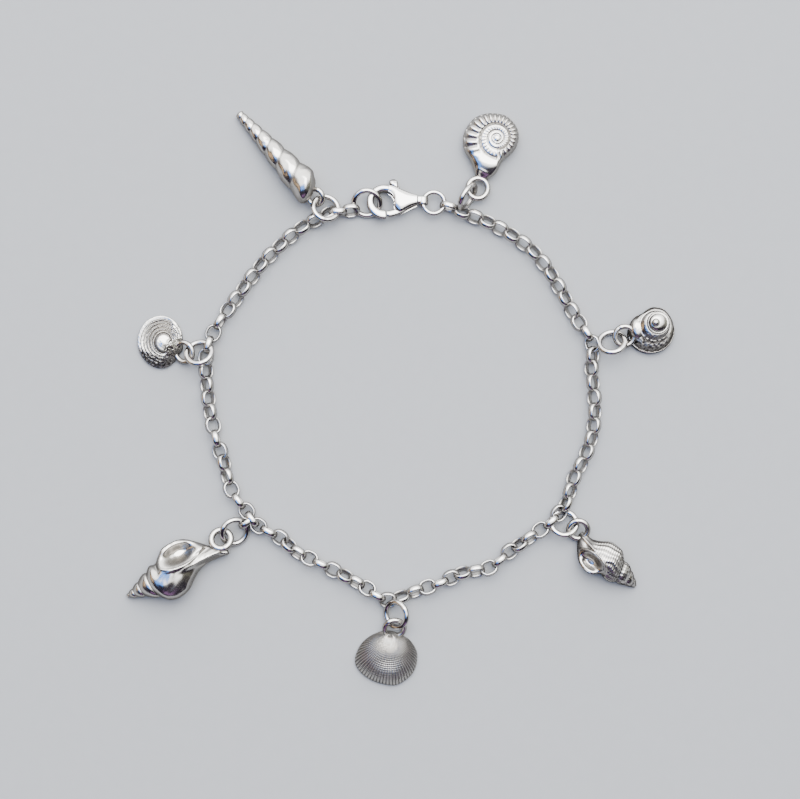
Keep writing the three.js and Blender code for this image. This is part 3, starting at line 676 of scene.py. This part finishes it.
# ---- Top shell ----
# Low turns that step up to a round bead at the apex, cast on a flat base. A smooth lobe swells
# beside the loop, and the lower turn is rough with rows of small beads.
TOP = {"at": (43.45, 12.07), "azimuth": 4.5, "loop": (1.88, 0.48, (0, 0, 2.0), 12, -94.5)}
TOP_EDGE = np.array([
    (0.72, 0.53), (1.34, 2.23), (2.42, 3.51), (3.94, 4.18), (5.37, 5.04), (6.55, 5.15),
    (8.07, 4.64), (9.15, 3.38), (9.79, 1.57), (9.84, -0.19), (9.12, -1.89), (8.06, -2.97),
    (6.64, -3.64), (4.68, -3.78), (2.78, -3.15), (1.5, -2.07), (0.81, -0.84),
])
# The middles of the curves that the skin runs through: apex, bead, inner keel, outer keel, rim.
TOP_MIDDLES = np.array([(5.85, 2.05), (5.9, 2.05), (6.5, 2.0), (5.85, 1.5), (5.3, 0.75)])


def top_cone():
    """Closed curves round the apex, one within another: the bead's edge, the inner keel, the
    outer keel and the rim, numbered 1 to 4. Each has its middle, reach and height, and the curves
    between them follow a line through these. The skin bulges up to each keel and drops just
    outside it."""
    bead_reach, inner_keel, outer_keel = 0.78, 2.0, 3.0
    angle = even_turn(250)[None, :]
    level = np.concatenate([
        np.linspace(0.02, 1, 24), np.linspace(1.02, 2, 50), np.linspace(2.015, 3, 66),
        np.linspace(3.015, 4, 80),
    ])[:, None]
    known = np.arange(5)
    rim = edge_reach(TOP_EDGE, TOP_MIDDLES[4], angle)
    inner = np.interp(level, known, [0, bead_reach, inner_keel, outer_keel, 0])
    outer = np.clip(level - 3, 0, 1)
    reach = np.where(level <= 3, inner, outer_keel + (rim - outer_keel) * outer)
    x = np.interp(level, known, TOP_MIDDLES[:, 0]) + np.cos(angle) * reach
    y = np.interp(level, known, TOP_MIDDLES[:, 1]) + np.sin(angle) * reach
    part = level % 1
    keeled = (level > 1) & (level < 3.999)
    bead = 0.62 * dome(np.clip(level, 0, 1))
    # The fall from the apex to the rim, which ends in a narrow raised line.
    fall = np.interp(level, [0, 1, 2, 3, 3.5, 3.75, 3.85, 3.9, 3.97, 4],
                     [4.8, 4.7, 3.8, 2.75, 2.2, 1.5, 1.05, 1.15, 1.05, 0.7])
    keel = 0.2 * bell(1 - part, 0.1) - 0.22 * bell(part, 0.13)
    bulge = 0.22 * np.sin(np.pi * part)
    drop = np.where(keeled, np.where(level > 3, 0.4, 1) * keel * (level > 1.5) + bulge, 0)
    lobe_away = np.hypot((x - 2.6) / 2.05, (y - 1.1) / 2.75)
    lobe = 3.1 * (1 - np.clip(lobe_away, 0, 1) ** 3) ** 0.6 * step(y, -1.5, -1.2)
    plain = np.exp(-(((x - 2.1) / 1.5) ** 2 + ((y - 1.3) / 2.3) ** 2) ** 2)
    ragged = step(-y - 0.2 * x, -1.9, 0.4) * step(level, 2.05, 2.3) * (1 - plain)
    rows = np.cos(angle * 22 + 4 * part) * np.cos(2 * np.pi * part * np.where(level > 3, 3, 2))
    lump = 0.3 * rows + 0.4 * pitting(x, y, 1.1) + 0.3 * pitting(y, x + 2, 0.6)
    height = np.maximum(fall + drop, lobe * (level > 2)) + bead
    height = height + (0.012 + 0.13 * ragged) * lump * step(4 - level, 0.08, 0.3)
    low = np.where(keeled & (level > 2), bell(part - 0.1, 0.1), 0) * (1 - plain)
    # Painted shade: the outer turns are painted darker on the -y side.
    below = step(-y - 0.1 * x, -1.4, 0.6) * step(level, 2.0, 2.2) * (1 - plain)
    gap = bell(y + 1.38, 0.16) * (x < 2.5)
    dark = np.clip(0.6 * low + 0.4 * below + ragged * (0.3 - 0.6 * lump) + 0.9 * gap, 0, 1)
    dark = dark * (1 - step(level, 3.86, 3.9))
    over = np.stack([x, y, np.maximum(height - 0.5 * gap, 0.3)], -1)
    foot = np.stack([x, y, 0 * x + 0.02], -1)[-1:]
    return shell(np.concatenate([over, foot]), tarnish_and_shade=np.concatenate([dark, dark[-1:]]))


hang("top_shell", [top_cone()], TOP, ["top_shell_charm"])

# ---- Whelk ----
# The largest charm, cast solid: a plump body turn and a stepped spire, with the mouth upward and
# the canal drawn out to the loop. The outer lip is a thin rounded edge, and folds run beside the
# mouth down the canal.
WHELK = {
    "at": (-35.0, -27.44), "azimuth": -156.7, "loop": (1.9, 0.6, (0, 0, 2.21), 21, 254.7),
}
# Sections along the whelk: distance from the loop, right edge, left edge and height.
WHELK_SECTIONS = np.array([
    (-0.2, 2.3, 3.3, 2.6), (1.4, 1.1, 3.2, 3.1), (3.0, 0.0, 3.15, 3.4), (4.6, -1.4, 3.3, 3.9),
    (6.2, -2.65, 3.9, 4.5), (7.8, -3.25, 5.1, 5.1), (9.4, -3.25, 6.5, 5.5),
    (11.2, -2.9, 7.15, 5.7), (12.5, -1.8, 7.2, 5.7), (13.6, -0.7, 6.95, 5.6),
    (14.8, -0.8, 6.4, 5.3), (15.9, -0.3, 5.6, 4.8), (17.2, 0.45, 4.95, 4.0),
    (18.3, 1.0, 4.5, 3.3), (19.3, 1.6, 4.15, 2.6), (20.3, 2.1, 3.85, 1.9), (21.4, 2.65, 3.3, 1.0),
])
WHELK_SEAMS = (12.6, 15.95, 18.2, 19.75, 20.85, 21.7)
# The mouth's middle, how far it reaches along and across, and how far it is turned.
WHELK_MOUTH = ((8.5, -0.75), (4.55, 2.3), 2)
# The underside rests this far above the card.
BELLY = 0.05


def spindle(sections, stations, sides, change):
    """Upright ovals along x, between the smooth lines through the sections' edges and heights.
    change takes each point's x, y and angle there and gives how far it moves toward the axis, how
    far down, and how dark it is."""
    lines = spline(sections, np.linspace(0, len(sections) - 1, stations))
    angle = even_turn(sides)[None, :]
    x, right, left, tall = (lines[:, column, None] for column in range(4))
    middle, half = (left + right) / 2, (left - right) / 2
    y, z = middle + np.cos(angle) * half, BELLY + tall / 2 * (1 + np.sin(angle))
    inward, down, dark = change(x + 0 * angle, y, angle)
    y = middle + (y - middle) * (1 - inward)
    z = BELLY + tall / 2 + (z - BELLY - tall / 2) * (1 - inward) - down
    return shell(np.stack([x + 0 * angle, y, np.maximum(z, 0.02)], -1), tarnish_and_shade=dark)


def oval_away(x, y, middle, reach, turn):
    """How far out a point is from an oval's middle, as a share of the oval's own edge."""
    turn = np.radians(turn)
    across, along = x - middle[0], y - middle[1]
    one = (across * np.cos(turn) + along * np.sin(turn)) / reach[0]
    two = (along * np.cos(turn) - across * np.sin(turn)) / reach[1]
    return np.hypot(one, two)


def whelk_marks(x, y, angle):
    """Curved seams round the spire, a wide bowl for the mouth with a thin lip, and folds down the
    canal."""
    top = step(np.sin(angle), -0.1, 0.25)
    slant = x + 0.1 * (y - 2.5) + 0.035 * (y - 2.5) ** 2
    turn = np.interp(slant, WHELK_SEAMS, np.arange(6), left=0.4)
    part = turn % 1
    spire = step(turn, 0.55, 0.9)
    inward = 0.2 * (1 - np.sin(np.pi * part) ** 0.65) * spire
    dark = 0.7 * bell(to_seam(part), 0.06) * spire
    shoulder = bell(slant - 13.4, 0.4) * step(-y, -1.6, 0.2)
    away = oval_away(x, y, *WHELK_MOUTH)
    bowl = 1 - step(away, 0.15, 1.0)
    lip = bell(away - 1.06, 0.07)
    # The slot of the canal, the fold beside it, that fold's outer side, and the low wave that
    # goes on past the mouth.
    slot = bell(y - 0.75 - 0.1 * (x - 4), 0.5) * between(x, 1.8, 3.2, 5.2, 7.0)
    fold = bell(y - 2.15 - 0.06 * (x - 4), 0.45) * between(x, 0.3, 1.8, 7.0, 10.5)
    side = bell(y - 2.85 - 0.02 * x, 0.35) * between(x, 1.0, 2.2, 5.0, 6.5)
    wave = bell(y - 1.9 + 0.04 * (x - 9) ** 2, 0.28) * between(x, 6.0, 7.5, 11.0, 13.0)
    down = top * (2.7 * bowl - 0.25 * lip + 0.55 * slot - 0.4 * fold + 0.35 * side - 0.22 * wave
                  + 0.5 * shoulder)
    down = down - 0.06 * top * pitting(x, y, 2.8) * step(15.0 - x, 0, 1.5)
    # Painted shade: the mouth's bowl is painted darker round its slope on the -y side.
    bowl_shade = 0.25 * bowl * (1 - bowl) * 4 * step(-y, 0, 2.2)
    dark = dark + top * (bowl_shade + 0.35 * slot + 0.5 * side + 0.4 * shoulder)
    return inward, down, np.clip(dark, 0, 1)


whelk_skin = spindle(WHELK_SECTIONS, 280, 210, whelk_marks)
hang("whelk_shell", [whelk_skin], WHELK, ["whelk_charm"], side_shade=0.75)

# ---- Cockle ----
# A round half shell, cast thin and hollow behind. Fine ribs fan out from its beak under the loop
# to a crisp scalloped rim, crossed by growth lines that are clearest low in the middle.
COCKLE = {"at": (-1.32, -44.85), "azimuth": -97.4, "loop": (1.92, 0.5, (0, 0, 1.5), 30, 20)}
COCKLE_BEAK, COCKLE_CROWN, COCKLE_HEIGHT = (1.35, -0.6), (5.0, -0.7), 3.5
COCKLE_RIBS, GROWTH_SPACING = 92, 0.42
COCKLE_EDGE = np.array([
    (0.99, -2.32), (2.25, -4.52), (4.02, -6.05), (6.08, -6.77), (7.65, -6.76), (8.92, -6.01),
    (10.1, -4.48), (10.84, -2.62), (11.17, -0.61), (11.08, 1.53), (10.09, 3.17), (8.54, 4.54),
    (6.89, 5.11), (5.12, 5.18), (3.61, 4.69), (2.02, 3.3), (1.26, 1.64), (0.71, -0.2),
])


def reshaped(wave, power):
    """A wave with its sign kept and its size raised to that power: below one, it has steeper
    sides and flatter tops."""
    return np.sign(wave) * np.abs(wave) ** power


def cockle_marks(x, y, share, angle):
    """Ribs at even angles from the beak, and growth lines under half a millimetre apart, clearest
    low down."""
    fan = step(np.cos(angle), -0.25, 0.2)
    rib = 0.5 + 0.5 * reshaped(np.cos(angle * COCKLE_RIBS), 0.8)
    tall = step(share, 0.05, 0.35) * fan
    ray = np.hypot(x - COCKLE_BEAK[0], y - COCKLE_BEAK[1])
    ring = 0.5 + 0.5 * np.cos(ray * 2 * np.pi / GROWTH_SPACING)
    heading = (angle + np.pi) % (2 * np.pi) - np.pi
    band = bell(ray - 6.2, 2.0) * np.exp(-(heading - 0.05) ** 2 / 0.35)
    lift = 0.2 * (rib - 0.6) * (0.4 + 0.6 * share) * tall * (1 - 0.6 * band)
    lift = lift + 0.12 * (ring - 0.5) * band
    lift = lift + 0.04 * pitting(x, y, 0.8) * (1 - fan)
    dark = 0.95 * (1 - rib) ** 1.3 * tall * (1 - 0.6 * band) + 0.6 * (1 - ring) ** 2 * band
    return lift, np.clip(dark, 0, 1)


cockle_skin = half_shell(COCKLE_EDGE, COCKLE_BEAK, COCKLE_CROWN, COCKLE_HEIGHT, cockle_marks,
                         rings=110, sides=644, round_off=0.85)
hang("cockle_shell", [cockle_skin], COCKLE, ["cockle_charm"], side_shade=0.75)

# ---- Netted whelk ----
# A short plump shell, cast solid, with its mouth upward. Ribs crossed by cords make rows of small
# beads over the body and the stepped spire, and tarnish stays between them.
NETTED = {
    "at": (34.45, -25.61), "azimuth": -44.2, "loop": (1.86, 0.52, (0, 0, 1.74), 19, -53.8),
}
NETTED_SECTIONS = np.array([
    (0.9, -0.8, 0.3, 1.2), (2.0, -2.3, 0.5, 2.2), (3.1, -3.45, 0.55, 3.0), (4.4, -4.45, 1.3, 4.0),
    (6.1, -4.85, 2.75, 4.8), (7.6, -4.6, 3.05, 5.1), (8.9, -3.3, 3.05, 5.0),
    (10.2, -3.35, 2.4, 4.6), (11.4, -3.1, 2.1, 4.0), (12.6, -2.35, 1.9, 3.4),
    (13.8, -1.7, 1.3, 2.6), (14.9, -1.1, 0.85, 1.8), (15.85, -0.5, 0.15, 0.8),
])
NETTED_SEAMS = (7.5, 11.5, 13.5, 14.85, 15.9)
NETTED_MOUTH = ((6.0, -2.85), (3.1, 1.75), 3)
NETTED_RIBS, CORD_SPACING = 17, 0.5


def netted_marks(x, y, angle):
    """Slanted seams, a wide bowl for the mouth with a thin lip, and ribs crossed by cords
    everywhere else."""
    top = step(np.sin(angle), -0.1, 0.25)
    slant = x + 0.34 * y
    turn = np.interp(slant, NETTED_SEAMS, np.arange(5), left=0.4)
    part = turn % 1
    spire = step(turn, 0.6, 0.9)
    inward = 0.15 * (1 - np.sin(np.pi * part) ** 0.6) * spire
    dark = 0.6 * bell(to_seam(part), 0.07) * spire
    away = oval_away(x, y, *NETTED_MOUTH)
    bowl = 1 - step(away, 0.2, 1.0)
    lip = bell(away - 1.07, 0.08)
    outside = 1 - top * (1 - step(away, 1.05, 1.3))
    rib = 0.5 + 0.5 * np.cos(NETTED_RIBS * angle + 0.7 * x)
    cord = 0.5 + 0.5 * np.cos(2 * np.pi * slant / CORD_SPACING)
    spread = outside * step(x, 3.2, 5.0)
    fold = bell(y + 0.35 + 0.05 * x, 0.3) * between(x, 0.8, 1.6, 4.0, 6.0)
    line = bell(y + 1.05, 0.14) * between(x, 2.6, 3.4, 6.6, 7.4)
    down = top * (1.9 * bowl - 0.26 * lip - 0.3 * fold + 0.25 * line)
    # Toward the tip the beads are worn lower.
    late = 1 - 0.45 * step(slant, 11.0, 12.5)
    beads = 0.05 * (1 - rib) + 0.022 * (1 - cord) * (0.4 + 0.6 * rib)
    inward = inward + beads * spread * late
    dark = dark + (0.5 * (1 - rib) ** 2 + 0.4 * (1 - cord) ** 2) * spread * late
    dark = dark + top * (0.6 * line + 0.2 * bowl * (1 - bowl))
    return inward, down, np.clip(dark, 0, 0.9)


netted_skin = spindle(NETTED_SECTIONS, 300, 240, netted_marks)
hang("netted_whelk_shell", [netted_skin], NETTED, ["netted_whelk_charm"])

# ---- Clasp ----
# A lobster clasp, cast in sterling silver and hand polished. The hook and the two cheeks of its
# body are one casting, with a pin across them, a neck and an eye. It lies a little on its side,
# with the hook on its ring.

# The same polish on a casting: nearly a mirror on the broad cheeks, soft at the corners. Its
# steep sides and the walls inside are painted grey, a painted shade.
clasp_silver = silver("sterling silver, clasp, hand polished", "#F8F5F1", "#6B6663",
                      gloss=0.13, grain=0.4, depth=0.003)

CLASP_MIDDLE, CLASP_LEAN = (-3.35, 38.14, 1.6), -8
CHEEK_OUTSIDE, CHEEK_INSIDE = 1.15, 0.7
HOOK_REACH, HOLE_REACH, HOLE_MIDDLE = 3.37, (2.0, 1.81), (0, 0.14)
# Half the hook's thickness, from the cheeks round to its tip.
HOOK_HALF = np.array([1.15, 1.15, 1.05, 0.9, 0.85, 0.8, 0.75, 0.6, 0.45])
CHEEK_TOP = np.array([
    (1.0, 3.25), (1.7, 3.12), (2.4, 2.86), (3.0, 2.56), (3.6, 2.27), (4.2, 2.0), (4.9, 1.72),
    (5.7, 1.45), (6.5, 1.22),
])
CHEEK_LOW = np.array([
    (0.7, 1.95), (1.5, 1.35), (1.97, 0.3), (1.92, -0.5), (2.15, -1.3), (3.1, -2.1), (4.2, -1.65),
    (5.4, -0.98), (6.46, -0.5),
])
# The eye's middle, the radius of its wall's middle, and half its wall and half its length.
EYE_MIDDLE, EYE_REACH, WALL_HALF, EYE_HALF = (7.6, 0.21), 0.83, 0.19, 0.76
PIN_MIDDLE, PIN_RADIUS, PIN_REACH = (3.6, -1.26), 0.35, 1.17


def clasped(skins):
    """Skins moved from the clasp's own frame, where the hook's middle is the origin, to their
    place."""
    return [(turned(skin, roll=CLASP_LEAN, at=CLASP_MIDDLE), faces, depth)
            for skin, faces, depth in skins]


def band(outer, inner, low, high, stations=90, sides=24, edge=2.6, flat=1.0):
    """A bar between two lines of points. Its section is a rounded box from the inner line to the
    outer, and from low to high, where these may change along it. The nearer edge is to 2, the
    rounder the section. flat below one presses the section's lower half flat, and flat above one
    its upper half."""
    along = np.linspace(0, 1, stations)
    one = spline(outer, along * (len(outer) - 1))
    two = spline(inner, along * (len(inner) - 1))
    low, high = (
        np.interp(along, np.linspace(0, 1, np.size(side)), np.atleast_1d(side))
        for side in (low, high)
    )
    turn = even_turn(sides)[None, :]
    across = reshaped(np.cos(turn), 2 / edge)
    up = reshaped(np.sin(turn), 2 / edge)
    seat = (1 - flat) / (1 + flat)
    pressed = up * (1 - flat) < 0
    up = np.where(pressed, up * (1 - abs(seat)) - seat, up * (1 + abs(seat)) - seat)
    level = two[:, None, :] + (one - two)[:, None, :] * ((1 + across) / 2)[..., None]
    z = ((low + high) / 2)[:, None] + ((high - low) / 2)[:, None] * up
    return shell(np.concatenate([level, z[..., None]], -1))


def arc(radii, first, last, count, middle=(0.0, 0.0)):
    """Points on part of an oval."""
    turn = np.radians(np.linspace(first, last, count))
    return np.stack([middle[0] + np.cos(turn) * radii[0], middle[1] + np.sin(turn) * radii[1]], -1)


def eye_tube():
    """A short tube along y, with rounded ends, that the clasp ring goes through."""
    around = even_turn(40)[:, None]
    across = even_turn(16)[None, :]
    up = reshaped(np.sin(across), 0.7)
    reach = EYE_REACH + WALL_HALF * reshaped(np.cos(across), 0.7)
    y = EYE_MIDDLE[1] + EYE_HALF * up + 0 * around
    grid = [EYE_MIDDLE[0] + np.cos(around) * reach, y, np.sin(around) * reach]
    return shell(np.stack(grid, -1), ring=True)


def post(radius, low, high, at):
    """A round pin with softened ends."""
    along = np.concatenate([np.zeros(6), np.linspace(0, 1, 8), np.ones(6)])
    round_off = np.sin(np.linspace(0.05, 1, 6) * np.pi / 2)
    thick = radius * np.concatenate([round_off, np.ones(8), round_off[::-1]])[:, None]
    turn = even_turn(24)[None, :]
    z = (low + (high - low) * along)[:, None] + 0 * turn
    return shell(np.stack([at[0] + np.cos(turn) * thick, at[1] + np.sin(turn) * thick, z], -1))


hook = band(
    np.concatenate([[(1.9, 2.98), (1.36, 3.17)], arc((HOOK_REACH, HOOK_REACH), 78, 277, 12)]),
    np.concatenate([[(1.35, 1.5), (1.0, 1.75)], arc(HOLE_REACH, 72, 277, 12, HOLE_MIDDLE)]),
    -HOOK_HALF, HOOK_HALF, edge=2.8,
)
cheeks = [
    band(CHEEK_TOP, CHEEK_LOW, CHEEK_INSIDE, [1.15, 1.4, 1.5, 1.45, 1.1],
         sides=64, edge=2.3, flat=0.12),
    band(CHEEK_TOP, CHEEK_LOW - (0, 0.2), -CHEEK_OUTSIDE, -CHEEK_INSIDE,
         sides=56, edge=2.6, flat=8.0),
]
# The raised rim round the hook's hole, where the upper cheek meets it.
rim = band(
    arc((2.32, 2.16), 68, -24, 9, HOLE_MIDDLE), arc((1.98, 1.79), 68, -24, 9, HOLE_MIDDLE),
    0.9, 1.24, sides=14, edge=2.0,
)
heel = band([(5.15, 1.5), (6.44, 1.22)], [(5.15, -0.75), (6.44, -0.44)], -1.12, 1.12,
            stations=24, edge=4)
neck = band([(6.6, 1.12), (7.9, 1.08)], [(6.6, -0.4), (7.9, -0.36)], -0.85, 0.95,
            stations=24, edge=4)
pivot = post(PIN_RADIUS, -PIN_REACH, PIN_REACH, PIN_MIDDLE)
clasp_skins = clasped([hook, *cheeks, rim, heel, neck, eye_tube(), pivot])
made("clasp_casting", clasp_skins, clasp_silver, "cast_silver", ["clasp_body"], side_shade=0.9)

# ---- Lever ----
# The clasp's lever is one casting that rocks on the pin. Its thin arm closes the mouth of the
# hook, its body hides between the cheeks, and its round knob stands out at the top for a thumb
# nail.
ARM_HALF = 0.46
ARM_OUTER = [
    (0.62, -2.83), (1.2, -2.97), (2.2, -2.75), (3.2, -2.38), (3.95, -2.05), (4.38, -1.45),
    (4.3, -0.7), (3.9, 0.3), (3.72, 1.4), (3.3, 2.4), (2.75, 3.2),
]
ARM_INNER = [
    (0.62, -1.78), (1.1, -1.72), (1.75, -1.55), (2.15, -1.35), (2.55, -1.0), (2.66, -0.6),
    (2.7, 0.1), (2.62, 1.0), (2.4, 1.9), (1.95, 2.7), (1.5, 3.3),
]
KNOB_OUTER = [(2.75, 2.9), (2.72, 3.5), (2.62, 4.05), (2.15, 4.48)]
KNOB_INNER = [(2.02, 2.98), (1.2, 3.42), (1.02, 4.05), (1.45, 4.46)]
KNOB_LOW, KNOB_HIGH = [-0.6, -0.6, -0.6, -0.2], [0.8, 0.85, 0.7, 0.2]

arm = band(ARM_OUTER, ARM_INNER, -ARM_HALF, ARM_HALF, stations=120, edge=2.6)
knob = band(KNOB_OUTER, KNOB_INNER, KNOB_LOW, KNOB_HIGH, stations=40, edge=3.2)
made("lever_casting", clasped([arm, knob]), clasp_silver, "polished_silver", ["clasp_lever"],
     body="clasp_lever", side_shade=0.9)
